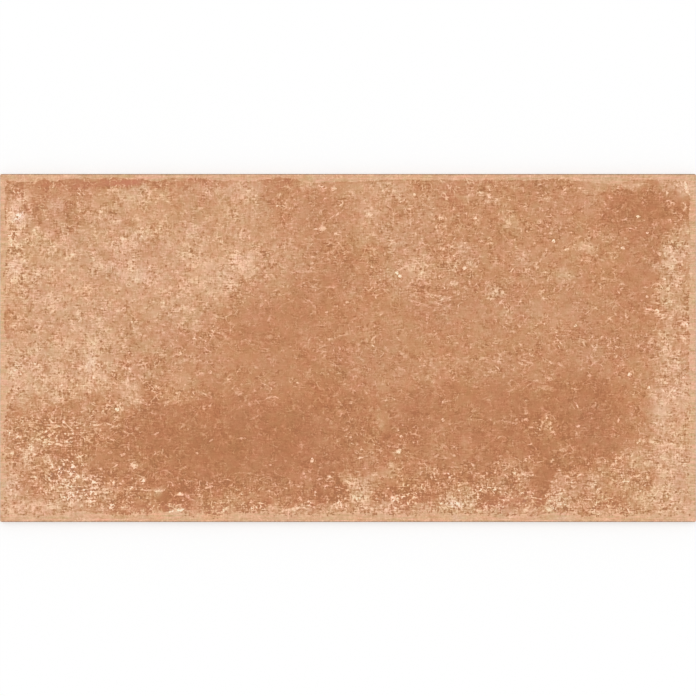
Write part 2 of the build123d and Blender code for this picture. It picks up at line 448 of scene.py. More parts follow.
def backSheet():
    placesX, countX, pitchX, mouthX = keyLines(tileLength)
    placesY, countY, pitchY, mouthY = keyLines(tileWidth)
    x, y = np.meshgrid(placesX, placesY)
    hair = 1e-6  # keeps points on the rim of a mouth inside it

    def fromPocket(place, side, count, pitch, mouth):
        # Distance from the middle of the nearest pocket, and where that lies
        first = key["rimWidth"] - side / 2
        number = np.clip(np.floor((place - first + key["ribWidth"] / 2) / pitch), 0, count - 1)
        centre = first + number * pitch + mouth / 2
        return place - centre, centre

    offX, centreX = fromPocket(x, tileLength, countX, pitchX, mouthX)
    offY, centreY = fromPocket(y, tileWidth, countY, pitchY, mouthY)
    inMouth = (np.abs(offX) <= mouthX / 2 + hair) & (np.abs(offY) <= mouthY / 2 + hair)
    bentX, bentY = roundedCorners(offX, offY, mouthX / 2, mouthY / 2, key["cornerRadius"])
    x = np.where(inMouth, centreX + bentX, x)
    y = np.where(inMouth, centreY + bentY, y)
    inset = insetFrom(x - centreX, y - centreY, mouthX / 2, mouthY / 2, key["cornerRadius"])
    return x, y, np.clip(inset, 0, key["depth"])


def edgeLoop(index):
    # The rim of a grid, as its four sides from corner to corner, anticlockwise from above
    return [index[0, :], index[:, -1], index[-1, ::-1], index[::-1, 0]]


def closedLoop(sides):
    return np.concatenate([side[:-1] for side in sides])


def gridFaces(index, mapU, mapV, flip=False):
    # Four-cornered faces between the rows of a grid, with each corner's place on the map
    corners = [(0, 0), (0, 1), (1, 1), (1, 0)]
    if flip:
        corners = corners[::-1]
    rows, columns = index.shape

    def pick(values):
        return np.stack([values[r:rows - 1 + r, c:columns - 1 + c].ravel() for r, c in corners], axis=1)

    return pick(index), pick(mapU), pick(mapV)


def zipFaces(outer, inner, points):
    # Triangles between two loops round the middle, taking whichever loop lags behind in angle
    def angles(loop):
        turn = np.arctan2(points[loop, 1] / tileWidth, points[loop, 0] / tileLength)
        turn = np.unwrap(np.append(turn, turn[0]))
        return turn - turn[0]

    outerTurn, innerTurn = angles(outer), angles(inner)
    made = []
    a = b = 0
    while a < len(outer) or b < len(inner):
        stepOuter = b >= len(inner) or (a < len(outer) and outerTurn[a + 1] <= innerTurn[b + 1])
        if stepOuter:
            made.append((outer[(a + 1) % len(outer)], outer[a], inner[b % len(inner)]))
            a += 1
        else:
            made.append((outer[a % len(outer)], inner[b], inner[(b + 1) % len(inner)]))
            b += 1
    return np.array(made)


# Map of the surface, for colours that are to be baked to a picture. The face fills the upper half,
# the back most of the lower half, and the four sides lie in strips along the bottom.
surfaceMap = {
    "faceWidth": 0.994,
    "faceCorner": (0.003, 0.5012),
    "backWidth": 0.84,
    "backCorner": (0.003, 0.075),
    "stripPlaces": [(0.003, 0.004), (0.003, 0.048), (0.003, 0.026), (0.503, 0.048)],
}


def addObject(name, data):
    made = bpy.data.objects.new(name, data)
    bpy.context.scene.collection.objects.link(made)
    return made


def tileMesh(points, sheets):
    # Each sheet holds its faces, the places of their corners on the map, and their looks
    mesh = bpy.data.meshes.new("porcelain_tile")
    everyFace = [corners for sheet in sheets for corners in sheet[0].tolist()]
    mesh.from_pydata((points * mm).tolist(), [], everyFace)
    layer = mesh.uv_layers.new(name="OFBake")
    places = np.concatenate([np.stack([sheet[1].ravel(), sheet[2].ravel()], axis=1) for sheet in sheets])
    layer.data.foreach_set("uv", places.astype(np.float32).ravel())
    looks = np.concatenate([np.broadcast_to(sheet[3], len(sheet[0])) for sheet in sheets])
    mesh.polygons.foreach_set("material_index", looks.astype(np.int32))
    mesh.update()
    mesh.shade_smooth()
    mesh.set_sharp_from_angle(angle=math.radians(slab["sharpAngle"]))
    triangles = sum(len(sheet[0]) * (sheet[0].shape[1] - 2) for sheet in sheets)
    print(f"tile: {len(points)} points, {triangles} triangles")
    return mesh


def tileSides(facePoints, faceIndex, perMm):
    # Ring by ring from the arris down to the back, and a strip of the map for each of the four sides
    sides = edgeLoop(faceIndex)
    loop = closedLoop(sides)
    count = len(loop)
    loopX, loopY, loopZ = facePoints[loop].T
    radius = slab["cornerRadius"]
    outX = np.sign(loopX) * np.maximum(np.abs(loopX) - (tileLength / 2 - radius), 0)
    outY = np.sign(loopY) * np.maximum(np.abs(loopY) - (tileWidth / 2 - radius), 0)
    size = np.hypot(outX, outY)
    outX, outY = outX / size, outY / size
    points = []
    depths = [np.zeros(count)]
    for level in slab["sideLevels"]:
        pulledIn = max(0.0, slab["backBevel"] - level)
        tilted = loopX - loopY + level * slab["waverTilt"]
        waver = noiseLift - layers(loopX + loopY, tilted, slab["waverCell"], 3, seeds["waver"])
        away = -pulledIn - slab["sideWaver"] * np.clip(waver, 0, None) * (level > 0)
        points.append(np.stack([loopX + outX * away, loopY + outY * away, np.full(count, level)], axis=1))
        depths.append(loopZ - level + pulledIn * (math.sqrt(2) - 1))
    rings = [loop] + [len(facePoints) + number * count + np.arange(count) for number in range(len(points))]

    sheets = []
    starts = np.cumsum([0] + [len(side) - 1 for side in sides])
    for number, side in enumerate(sides):
        picks = np.arange(starts[number], starts[number + 1] + 1) % count
        index = np.stack([ring[picks] for ring in rings])
        startU, startV = surfaceMap["stripPlaces"][number]
        line = facePoints[side][:, :2]
        gone = np.concatenate([[0], np.cumsum(np.hypot(*np.diff(line, axis=0).T))])
        mapU = np.tile(startU + gone * perMm, (len(rings), 1))
        mapV = startV + np.stack([depths[-1][picks] - depth[picks] for depth in depths]) * perMm
        faces, cornerU, cornerV = gridFaces(index[::-1], mapU[::-1], mapV[::-1])
        looks = np.where(faces.max(axis=1) < rings[2][0], 0, 1)  # glazed as far as the first ring
        sheets.append((faces, cornerU, cornerV, looks))
    print(f"sides: {count} points round, {len(rings)} rings")
    return points, rings[-1], sheets


def buildTile():
    x, y, z, alongX, alongY = faceSheet()
    facePoints = np.stack([x.ravel(), y.ravel(), z.ravel()], axis=1)
    faceIndex = np.arange(x.size).reshape(x.shape)
    perMm = surfaceMap["faceWidth"] / alongX[-1]
    startU, startV = surfaceMap["faceCorner"]
    mapU, mapV = np.meshgrid(startU + alongX * perMm, startV + alongY * perMm)
    print(f"face: {x.shape[1]} by {x.shape[0]} points")
    sidePoints, lowestRing, sideSheets = tileSides(facePoints, faceIndex, perMm)
    sheets = [(*gridFaces(faceIndex, mapU, mapV), 0), *sideSheets]

    # The back, with its pockets, joined to the lowest ring by a flat skirt
    x, y, z = backSheet()
    backIndex = lowestRing[-1] + 1 + np.arange(x.size).reshape(x.shape)
    points = np.concatenate([facePoints, *sidePoints, np.stack([x.ravel(), y.ravel(), z.ravel()], axis=1)])
    backScale = surfaceMap["backWidth"] / tileLength
    startU, startV = surfaceMap["backCorner"]
    pointU = startU + (points[:, 0] + tileLength / 2) * backScale
    pointV = startV + (points[:, 1] + tileWidth / 2) * backScale
    sheets.append((*gridFaces(backIndex, pointU[backIndex], pointV[backIndex], flip=True), 1))
    skirt = zipFaces(lowestRing, closedLoop(edgeLoop(backIndex)), points)
    sheets.append((skirt, pointU[skirt], pointV[skirt], 1))
    print(f"back: {x.shape[1]} by {x.shape[0]} points")
    return addObject("porcelain_tile", tileMesh(points, sheets)), points


def stored(tile, name, where, values, kind="FLOAT", slot="value"):
    made = tile.data.attributes.new(name, kind, where)
    made.data.foreach_set(slot, values.astype(np.float32).ravel())


def storeClay(tile, points):
    x, y = points[:, 0], points[:, 1]
    pale, grit, red = claySpread(x, y)
    stored(tile, "paleness", "POINT", pale)
    stored(tile, "grit", "POINT", grit)
    stored(tile, "redness", "POINT", red)
    stored(tile, "inset", "POINT", insetFrom(x, y, tileLength / 2, tileWidth / 2, slab["cornerRadius"]))
    stored(tile, "marginBand", "POINT", marginBand(x, y))
    print(f"clay: paleness {pale.min():.2f} to {pale.max():.2f}")


# Marks in the face: pits, grains and short strokes of pale clay.
# Each face of the mesh carries the place of its corners as seen from the nearest mark.
marks = {
    "reach": 1.5,  # in half lengths, how far round a mark its faces know it
    "faceDepth": 1.0,  # faces that lie deeper than this aren't of the tile's face
    # x, y, half length, half width, brightness, turn if not 0, bend if not 0
    "placed": [
        (243, -23, 1.8, 1.7, 0.85), (259, -34, 1.3, 1.2, 0.55), (-199, -53, 1.9, 1.7, 0.75),
        (-200, -47, 1.8, 1.3, 0.35), (42, 65, 1.4, 1.8, 0.6, 20), (45, 62, 1.6, 1.4, 0.6),
        (250, 113, 1.4, 1.3, 0.62), (258, 99, 1.2, 1.1, 0.52), (237, 86, 1.7, 1.4, 0.58),
        (177, 92, 1.5, 1.3, 0.6), (170, 99, 1.4, 1.1, 0.32), (258, 44, 1.4, 1.3, 0.5),
        (196, 19, 1.3, 1.2, 0.48), (180, 14, 1.6, 1.4, 0.38), (-254, 140, 1.6, 2.0, 0.5),
        (101, 69, 1.9, 1.6, 0.5), (188, 85, 3.4, 1.0, 0.42, 25, 0.3), (231, 78, 2.2, 0.9, 0.35, 35),
        (140, 90, 5.5, 1.5, 0.24, -40, 0.2), (254, 125, 1.1, 1.0, 0.3), (238, 122, 1.3, 1.0, 0.3),
        (232, 118, 1.2, 1.0, 0.3), (223, 120, 3.6, 0.8, 0.26), (275, 133, 1.2, 2.4, 0.42, 0, 0.4),
        (276, 127, 2.4, 1.0, 0.34), (266, 54, 5.5, 0.9, 0.3, 0, -0.9), (293, 136, 9.0, 1.4, 0.34, -65, 0.2),
        (-12, 137, 2.6, 1.5, 0.38), (4, 134, 2.6, 1.0, 0.42, -35), (57, 132, 1.4, 1.3, 0.42),
        (-10, 115, 8.0, 0.8, 0.28, 30, 0.1), (-20, 94, 10.0, 0.6, 0.18, 4, 0.15), (19, 115, 2.0, 2.0, 0.32),
        (25, 106, 1.0, 2.0, 0.3), (60, 109, 1.4, 1.2, 0.3), (-71, 41, 1.3, 1.1, 0.36),
        (-18, 31, 1.6, 1.1, 0.3), (-1, 39, 1.6, 1.1, 0.34), (-51, 47, 2.2, 1.0, 0.24),
        (-30, 53, 3.2, 0.9, 0.26, -10), (94, 4, 1.4, 1.1, 0.28), (73, 46, 6.5, 1.0, 0.34, -12, 0.1),
        (90, 56, 3.0, 2.0, 0.3, 30), (67, 72, 2.6, 1.2, 0.36, -30), (57, 75, 1.3, 1.2, 0.36),
        (22, 8, 3.4, 0.9, 0.24, 60), (43, 8, 3.0, 1.0, 0.24, -40), (-184, -101, 4.0, 2.4, 0.46),
        (-194, -92, 2.4, 1.6, 0.36, 10), (-205, -90, 2.4, 1.2, 0.3, 35),
        (-201, -102, 3.6, 0.9, 0.36, 35, 0.2), (-166, -74, 3.4, 0.8, 0.32, 22, 0.1),
        (-205, -78, 4.0, 0.8, 0.36, -25, 0.1), (-216, -66, 5.0, 0.8, 0.34, 5, 0.3),
        (-236, -71, 9.5, 0.8, 0.26, -35, 0.15), (-252, -82, 11.0, 1.0, 0.42, -18, 0.1),
        (-239, -109, 1.8, 1.6, 0.55), (-236, -115, 1.4, 1.3, 0.5), (-162, -123, 4.2, 1.1, 0.4, 8),
        (-120, -120, 3.6, 0.9, 0.42, 15, 0.1), (-141, -103, 4.6, 0.8, 0.32, 28, 0.1),
        (-155, -107, 4.0, 0.7, 0.22, -30), (-143, -68, 1.3, 1.1, 0.3), (-137, -69, 2.6, 1.0, 0.26, 50),
        (-160, -89, 3.0, 0.7, 0.28, 80), (-172, -92, 1.7, 1.0, 0.28, 40), (-130, -91, 1.2, 1.0, 0.32),
        (-118, -80, 2.2, 0.8, 0.26, 40), (-119, -21, 2.2, 1.7, 0.32), (-149, -45, 3.6, 2.4, 0.2, 40),
        (-247, -32, 1.2, 1.1, 0.36), (-233, -32, 1.2, 1.1, 0.36), (-93, -78, 5.0, 0.9, 0.34, 3),
        (-96, -37, 5.0, 2.0, 0.26, -30), (-65, -43, 7.0, 0.9, 0.3, 0, -0.45),
        (-85, -48, 2.4, 1.6, 0.26, 20), (-77, -54, 2.2, 1.2, 0.24, 60), (-81, -60, 3.6, 1.1, 0.28, 25),
        (-33, -51, 3.2, 2.0, 0.3, 30), (-11, -41, 3.0, 1.1, 0.26), (-8, -46, 4.0, 0.9, 0.28, -55, 0.1),
        (-43, -30, 1.4, 1.3, 0.42), (-31, -97, 1.7, 1.4, 0.52), (-67, -101, 1.6, 1.1, 0.46),
        (-88, -95, 1.1, 1.4, 0.24), (15, -38, 2.2, 1.6, 0.4, -50), (41, -18, 1.5, 1.3, 0.34),
        (12, -10, 2.4, 0.9, 0.28, -30), (2, -48, 1.6, 0.9, 0.3), (2, -77, 1.4, 1.2, 0.36),
        (8, -83, 1.8, 1.2, 0.36, -30), (46, -76, 1.4, 1.2, 0.5), (49, -82, 3.2, 0.8, 0.38, -62),
        (44, -89, 2.4, 2.0, 0.5, 30), (82, -62, 1.6, 1.5, 0.42), (90, -92, 3.0, 1.0, 0.3, -25),
        (34, -26, 7.0, 0.6, -0.14, -8), (-90, -108, 10.0, 0.8, 0.2, 0, -0.2),
        (-24, -113, 3.2, 0.8, 0.3, 12), (-38, -107, 1.2, 1.6, 0.28), (1, -116, 6.0, 1.2, 0.26, -25),
        (57, -119, 2.4, 1.6, 0.34), (72, -95, 8.0, 0.8, 0.2, 25, 0.1),
        (-48, -139, 12.0, 0.9, 0.34, 10, -0.1), (-147, -140, 9.0, 1.3, 0.46, 15),
        (197, -49, 4.4, 0.7, 0.48, -58), (194, -50, 3.0, 0.6, 0.26, -58), (198, -67, 1.8, 1.4, 0.38),
        (192, -66, 1.2, 1.6, 0.26), (215, -69, 2.0, 1.1, 0.28), (233, -62, 2.6, 0.9, 0.36, 78),
        (251, -80, 3.6, 1.0, 0.44, 50), (186, -88, 4.0, 1.6, 0.32, 5), (205, -95, 2.0, 1.8, 0.26),
        (174, -65, 2.0, 1.6, 0.4), (154, -62, 2.4, 1.6, 0.34, -40), (133, -77, 4.0, 1.0, 0.28, -5, -0.4),
        (131, -6, 2.2, 1.0, 0.3, -40), (152, -11, 6.0, 1.2, 0.24, -20, 0.1),
        (140, -36, 5.0, 0.8, 0.2, 20, 0.5), (172, -35, 9.0, 1.8, 0.2, -8), (174, -27, 2.8, 1.4, 0.3, -40),
        (139, -110, 4.2, 0.9, 0.28, 0, -0.6), (117, -123, 4.2, 1.2, 0.36, -30),
        (247, -111, 5.4, 1.0, 0.34, 20), (262, -130, 12.0, 0.7, 0.22, 52), (278, -38, 7.0, 0.8, 0.24, 55),
        (289, -26, 1.3, 1.2, 0.44), (295, -61, 2.4, 1.0, 0.34, 60), (217, -143, 2.6, 1.3, 0.36),
        (173, -140, 2.8, 2.0, 0.34), (113, -140, 2.4, 1.6, 0.34),
    ],
    # strewn by chance: how many, half lengths, half widths, brightness
    "strewn": [
        (460, (0.8, 1.5), (0.7, 1.1), (0.07, 0.21)),
        (120, (1.4, 3.4), (0.5, 0.8), (0.06, 0.14)),
    ],
    "clearOfEdge": 7,
    "mostBend": 0.4,
}


def chanceMarks():
    chance = np.random.RandomState(seeds["strewn"])
    halfX, halfY = tileLength / 2 - marks["clearOfEdge"], tileWidth / 2 - marks["clearOfEdge"]
    most = marks["mostBend"]
    made = []
    for count, lengths, widths, brightness in marks["strewn"]:
        for number in range(count):
            placeX, placeY = chance.uniform(-halfX, halfX), chance.uniform(-halfY, halfY)
            turn, bend = chance.uniform(-90, 90), chance.uniform(-most, most)
            halfLong, halfWide = chance.uniform(*lengths), chance.uniform(*widths)
            made.append((placeX, placeY, halfLong, halfWide, chance.uniform(*brightness), turn, bend))
    return made


def whole(items, name):
    found = np.zeros(len(items), np.int32)
    items.foreach_get(name, found)
    return found


def placesOf(items, name):
    # In millimetres
    found = np.zeros(len(items) * 3, np.float32)
    items.foreach_get(name, found)
    return found.reshape(-1, 3).astype(float) / mm


def storeMarks(tile):
    mesh = tile.data
    centres = placesOf(mesh.polygons, "center")
    onFace = centres[:, 2] > tileThickness - marks["faceDepth"]
    nearest = np.full(len(centres), np.inf)
    owner = np.full(len(centres), -1)
    every = [filled(mark, (0, 0)) for mark in marks["placed"]] + chanceMarks()
    for number, (placeX, placeY, halfLong, *rest) in enumerate(every):
        away = np.hypot(centres[:, 0] - placeX, centres[:, 1] - placeY)
        reach = halfLong * marks["reach"] + slab["cell"]
        close = onFace & (away < reach) & (away - halfLong < nearest)
        nearest[close] = away[close] - halfLong
        owner[close] = number
    cornerOwner = np.repeat(owner, whole(mesh.polygons, "loop_total"))
    places = placesOf(mesh.vertices, "co")[whole(mesh.loops, "vertex_index")]
    noMark = (0, 0, 1, 1, 0, 0, 0)
    markX, markY, halfLong, halfWide, bright, turn, bend = np.array(every + [noMark])[cornerOwner].T
    turn = np.radians(turn)
    offX, offY = places[:, 0] - markX, places[:, 1] - markY
    along = (offX * np.cos(turn) + offY * np.sin(turn)) / halfLong
    across = (offY * np.cos(turn) - offX * np.sin(turn)) / halfWide
    seen = np.stack([along, across, bright], axis=1)
    stored(tile, "markPlace", "CORNER", seen, "FLOAT_VECTOR", "vector")
    stored(tile, "markBend", "CORNER", bend * halfLong / halfWide)
    print(f"marks: {len(every)}, on {int((owner >= 0).sum())} faces")


# Shader helpers

def tint(code):
    # A written colour such as c38c66, as Blender's linear numbers
    parts = [int(code[place:place + 2], 16) / 255 for place in (0, 2, 4)]
    return tuple(p / 12.92 if p <= 0.04045 else ((p + 0.055) / 1.055) ** 2.4 for p in parts) + (1.0,)


def clearedTree(owner):
    owner.use_nodes = True
    owner.node_tree.nodes.clear()
    return owner.node_tree


def newMaterial(name):
    material = bpy.data.materials.new(name)
    return material, clearedTree(material)


def node(kind, inputs, tree=None, **settings):
    # Made in the tree of the sockets that it is given, or in the tree named
    linked = [name for name, value in inputs.items() if isinstance(value, bpy.types.NodeSocket)]
    tree = tree or inputs[linked[0]].id_data
    made = tree.nodes.new("ShaderNode" + kind)
    for name, value in settings.items():
        setattr(made, name, value)
    for name, value in inputs.items():
        if name in linked:
            tree.links.new(value, made.inputs[name])
        else:
            made.inputs[name].default_value = value
    return made


def calc(operation, *values):
    return node("Math", dict(enumerate(values)), operation=operation).outputs[0]


def calcVector(operation, *values):
    return node("VectorMath", dict(enumerate(values)), operation=operation).outputs[0]


def joined(x, y, z=0.0):
    return node("CombineXYZ", {"X": x, "Y": y, "Z": z}).outputs[0]


def axisOf(vector, axis):
    return node("SeparateXYZ", {0: vector}).outputs[axis]


def attribute(tree, name, output="Fac"):
    return node("Attribute", {}, tree, attribute_name=name).outputs[output]


def ramped(value, low, high, outLow=0.0, outHigh=1.0):
    # Rises smoothly from outLow to outHigh as the value goes from low to high
    ends = {"From Min": low, "From Max": high, "To Min": outLow, "To Max": outHigh}
    return node("MapRange", {"Value": value, **ends}, interpolation_type="SMOOTHSTEP").outputs["Result"]


def mixed(share, first, second):
    # 6, 7 and output 2 are the colour sockets of a Mix node
    return node("Mix", {0: share, 6: first, 7: second}, data_type="RGBA").outputs[2]


def towards(value, wanted, share):
    return calc("MULTIPLY_ADD", calc("SUBTRACT", wanted, value), share, value)


def summed(parts):
    # Adds up values, each with its own weight
    total = 0.0
    for value, weight in parts:
        total = calc("MULTIPLY_ADD", value, weight, total)
    return total


def colourRamp(value, colours):
    # The lowest and the highest place are the ends of the ramp
    low, high = colours[0][0], colours[-1][0]
    made = node("ValToRGB", {"Fac": calc("DIVIDE", calc("SUBTRACT", value, low), high - low)})
    stops = made.color_ramp.elements
    while len(stops) < len(colours):
        stops.new(0.5)
    for stop, (at, code) in zip(stops, colours):
        stop.position = (at - low) / (high - low)
        stop.color = tint(code)
    return made.outputs["Color"]


def placesInMm(tree):
    return calcVector("MULTIPLY", node("TexCoord", {}, tree).outputs["Object"], (1 / mm,) * 3)


def shifted(place, away):
    # The same places, moved so that another part of a noise shows there
    if away == 0:
        return place
    return calcVector("ADD", place, (away, away / 2, away / 3))


def newGroup(name, inputs, outputs):
    group = bpy.data.node_groups.new(name, "ShaderNodeTree")
    for label, kind, value in inputs:
        socket = group.interface.new_socket(label, in_out="INPUT", socket_type="NodeSocket" + kind)
        if value is not None:
            socket.default_value = value
    for label, kind in outputs:
        group.interface.new_socket(label, in_out="OUTPUT", socket_type="NodeSocket" + kind)
    return group, group.nodes.new("NodeGroupInput").outputs, group.nodes.new("NodeGroupOutput").inputs


def placeGroup(group, **inputs):
    named = {name[0].upper() + name[1:]: value for name, value in inputs.items()}
    return node("Group", named, node_tree=group).outputs


# Grain, brush marks, curls and flecks: each is centred on 0 with a spread of about 1

noiseGain = 7.0  # brings a noise to that spread


def evened(noise):
    return calc("MULTIPLY", calc("SUBTRACT", noise.outputs["Fac"], 0.5), noiseGain)


def grainGroup():
    # Fine clay grain
    group, given, out = newGroup(
        "clayGrain",
        [("Place", "Vector", None), ("Size", "Float", 2.0), ("Twist", "Float", 0.5)],
        [("Grain", "Float")],
    )
    looks = {
        "Vector": given["Place"], "Scale": calc("DIVIDE", 1.0, given["Size"]),
        "Detail": 0.6, "Roughness": 0.5, "Distortion": given["Twist"],
    }
    group.links.new(evened(node("TexNoise", looks)), out["Grain"])
    return group


def brushGroup():
    # Long, narrow marks of a brush or a wiping cloth
    group, given, out = newGroup(
        "brushMarks",
        [("Place", "Vector", None), ("AlongX", "Float", 12.0), ("AlongY", "Float", 1.2)],
        [("Strokes", "Float")],
    )
    split = node("SeparateXYZ", {0: given["Place"]}).outputs
    squeezed = [calc("DIVIDE", split["X"], given["AlongX"]), calc("DIVIDE", split["Y"], given["AlongY"])]
    looks = {"Vector": joined(*squeezed), "Scale": 1.0, "Detail": 1.0, "Distortion": 0.3}
    group.links.new(evened(node("TexNoise", looks)), out["Strokes"])
    return group


clayGrain = grainGroup()
brushMarks = brushGroup()


def grained(place, size, twist, away=0.0):
    return placeGroup(clayGrain, place=shifted(place, away), size=size, twist=twist)["Grain"]


def grainRows(place, rows):
    # Layers of grain, each with its weight, ready to be summed
    return [(grained(place, size, twist, away), weight) for size, twist, away, weight in rows]


def brushed(place, alongX, alongY, away=0.0):
    return placeGroup(brushMarks, place=shifted(place, away), alongX=alongX, alongY=alongY)["Strokes"]


curlShape = {
    # distance from the line where each starts and ends to fade, and its strength
    "pale": (0.6, 2.8, 1.5),
    "dark": (1.4, 6.2, 0.5),
    "faint": (-0.2, 1.0),  # where curls die out and where they are full
    "mean": 0.04,
    "gain": 3.2,
}
fleckShape = {
    "pale": (0.14, 0.38, 1.5),
    "dark": (0.14, 0.64, 0.5),
    "faint": (-0.2, 0.9),
    "mean": 0.065,
    "gain": 3.6,
}


def ringed(away, shape, faintness):
    # Pale close by, with a darker rim, and fainter in some places
    pale = ramped(away, *shape["pale"], 0.0)
    dark = ramped(away, *shape["dark"], 0.0)
    cover = ramped(faintness, *shape["faint"])
    made = calc("MULTIPLY", calc("SUBTRACT", pale, dark), cover)
    return calc("MULTIPLY", calc("SUBTRACT", made, shape["mean"]), shape["gain"])


def curlGroup():
    # Thin pale curls between darker flanks, along the lines where a noise passes through 0
    group, given, out = newGroup(
        "clayCurls",
        [("Place", "Vector", None), ("Size", "Float", 5.0), ("Width", "Float", 1.0)],
        [("Curls", "Float")],
    )
    bent = grained(given["Place"], given["Size"], twist=0.5)
    gaps = grained(given["Place"], given["Size"], twist=0.3, away=180.0)
    inWidths = calc("DIVIDE", given["Size"], given["Width"])
    away = calc("MULTIPLY", calc("ABSOLUTE", bent), inWidths)
    group.links.new(ringed(away, curlShape, gaps), out["Curls"])
    return group


def fleckGroup():
    # Separate round flecks in darker rings, some bolder than others
    group, given, out = newGroup(
        "clayFlecks",
        [("Place", "Vector", None), ("Size", "Float", 4.0)],
        [("Flecks", "Float")],
    )
    scale = calc("DIVIDE", 1.0, given["Size"])
    looks = {"Vector": given["Place"], "Scale": scale, "Randomness": 1.0}
    cells = node("TexVoronoi", looks, voronoi_dimensions="2D").outputs
    chance = node("SeparateColor", {0: cells["Color"]}).outputs[0]
    group.links.new(ringed(cells["Distance"], fleckShape, chance), out["Flecks"])
    return group


clayCurls = curlGroup()
clayFlecks = fleckGroup()

firedClay = {
    "body": "c9a284",
    "pale": "d9b89c",
    "paleCover": (-2.6, 2.6),
    "dark": "a97f62",
    "darkCover": (0.2, 2.6, 0.0, 0.45),
    "speck": "8a6249",
    "speckCover": (1.5, 2.2, 0.0, 0.8),
    "wash": "e2dacd",  # white kiln wash, rolled on over the ribs of the back
    "washCover": (-1.4, 0.8, 0.15, 0.8),
    "washTop": (0.15, 0.45, 1.0, 0.0),  # how far up the walls of the pockets it reaches
    "washParts": (0.5, 0.5, 0.4),  # weights of the roller, of patches and of the grain in its thickness
    "washFray": 0.05,
    "roughness": 0.78,
    "roughnessSwing": 0.03,
    "specular": 0.3,
    "coarseRelief": 0.5,
    "reliefHeight": 0.02,
}


def bodyGroup():
    # The fired body under the glaze, as the sides and the back show it
    group, given, out = newGroup(
        "firedBody",
        [("Place", "Vector", None)],
        [("Colour", "Color"), ("Roughness", "Float"), ("Height", "Float")],
    )
    place = given["Place"]
    broad = grained(place, size=26.0, twist=0.4)
    fine = grained(place, size=0.9, twist=0.3)
    middle = grained(place, size=3.2, twist=0.6)
    patchy = grained(place, size=9.0, twist=0.8, away=300.0)
    rolled = brushed(place, alongX=70.0, alongY=3.5)
    thick = summed(zip((rolled, patchy, fine), firedClay["washParts"]))
    height = calc("MULTIPLY_ADD", fine, firedClay["washFray"], axisOf(place, "Z"))
    low = ramped(height, *firedClay["washTop"])

    paleShare = ramped(broad, *firedClay["paleCover"])
    colour = mixed(paleShare, tint(firedClay["body"]), tint(firedClay["pale"]))
    washShare = calc("MULTIPLY", low, ramped(thick, *firedClay["washCover"]))
    covers = [
        ("dark", ramped(middle, *firedClay["darkCover"])),
        ("wash", washShare),
        ("speck", ramped(fine, *firedClay["speckCover"])),
    ]
    for name, share in covers:
        colour = mixed(share, colour, tint(firedClay[name]))
    group.links.new(colour, out["Colour"])
    rough = calc("MULTIPLY_ADD", fine, firedClay["roughnessSwing"], firedClay["roughness"])
    group.links.new(rough, out["Roughness"])
    group.links.new(calc("MULTIPLY_ADD", middle, firedClay["coarseRelief"], fine), out["Height"])
    return group


firedBody = bodyGroup()

# Grain of the face
faceGrain = {
    # size, twist, shift and weight of the layers: fine, middle, clumps and broad
    "layers": [(1.9, 1.1, 0, 0.76), (3.0, 1.4, 0, 0.68), (4.6, 0.6, 0, 0.45), (9.5, 0.5, 0, 0.35)],
    "strokes": [(6.0, 1.1, 0.9), (1.1, 7.0, 0.55)],  # size along x and along y, weight
    "skew": (-0.6, -0.18),  # middle of the fine grain's square, and its weight
    # layers that make it stronger in some spots and nearly smooth in others
    "spots": [(3.4, 0.6, 330.0, 0.20), (6.0, 0.6, 60.0, 0.34), (15.0, 0.5, 120.0, 0.22)],
    "leastSpots": 0.25,
    "lean": (0.05, 0.45, 0.05, -0.03),  # bold grains are pale on dark clay, and dark on pale clay
    "leanMiddle": -3.0,
    # size, width, shift and weight of the curls, and of long ones that lie sideways
    "curls": [(5.6, 1.0, 30.0, 0.95), (3.2, 0.6, 260.0, 0.75)],
    "longCurls": (6.5, 0.85, 400.0, 0.9),
    "squash": (0.5, 1, 1),
    "boldestCurls": 3.4,
    "curlsByPaleness": (0.24, 0.48, 1.0, -0.5),
    "curlsByGrit": (0.10, 0.16, 1.0, 0.72),
    "fleckSize": 4.0,
    "fleckStir": (0.3, 0.3, 0),  # how far the grain pulls them about
    "flecksByGrit": (0.09, 0.20, 0.1, 0.52),
    "flecksOnPale": -0.5,
    "paleClay": (0.24, 0.48),
}
glazedClay = {
    # paleness, colour: written a little darker than they look, because the sheen adds to them
    "colours": [
        (-0.11, "a06436"), (-0.01, "ab6e40"), (0.19, "be8458"), (0.35, "cc956d"),
        (0.51, "dba884"), (0.75, "f4c4a0"), (0.99, "fcd4b1"), (1.30, "ffecce"),
    ],
    "red": "be7957",
    "redByPaleness": (0.12, 0.36, 1.0, 0.15),
    # painted shade: the thin, greyer line along the arris, where the rounded edge falls away from the light
    "arris": "8a694f",
    "arrisShadeReach": (0.35, 0.95, 0.75, 0.0),  # by the distance from the edge
    "arrisFray": 0.12,
    "arrisAtEnds": (2.5, 1.0, 1.0, 0.25),  # the painted shade is fainter along the two short edges
    "bodyTop": (7.7, 8.1, 1.0, 0.0),  # the glaze ends about here on the sides
    "bodyFray": 0.25,
    "roughness": 0.58,
    "roughnessOfPale": 0.3,
    "specular": 0.4,
    "reliefHeight": 0.015,
    "grainRelief": 0.7,
    "markRelief": -1.5,
}
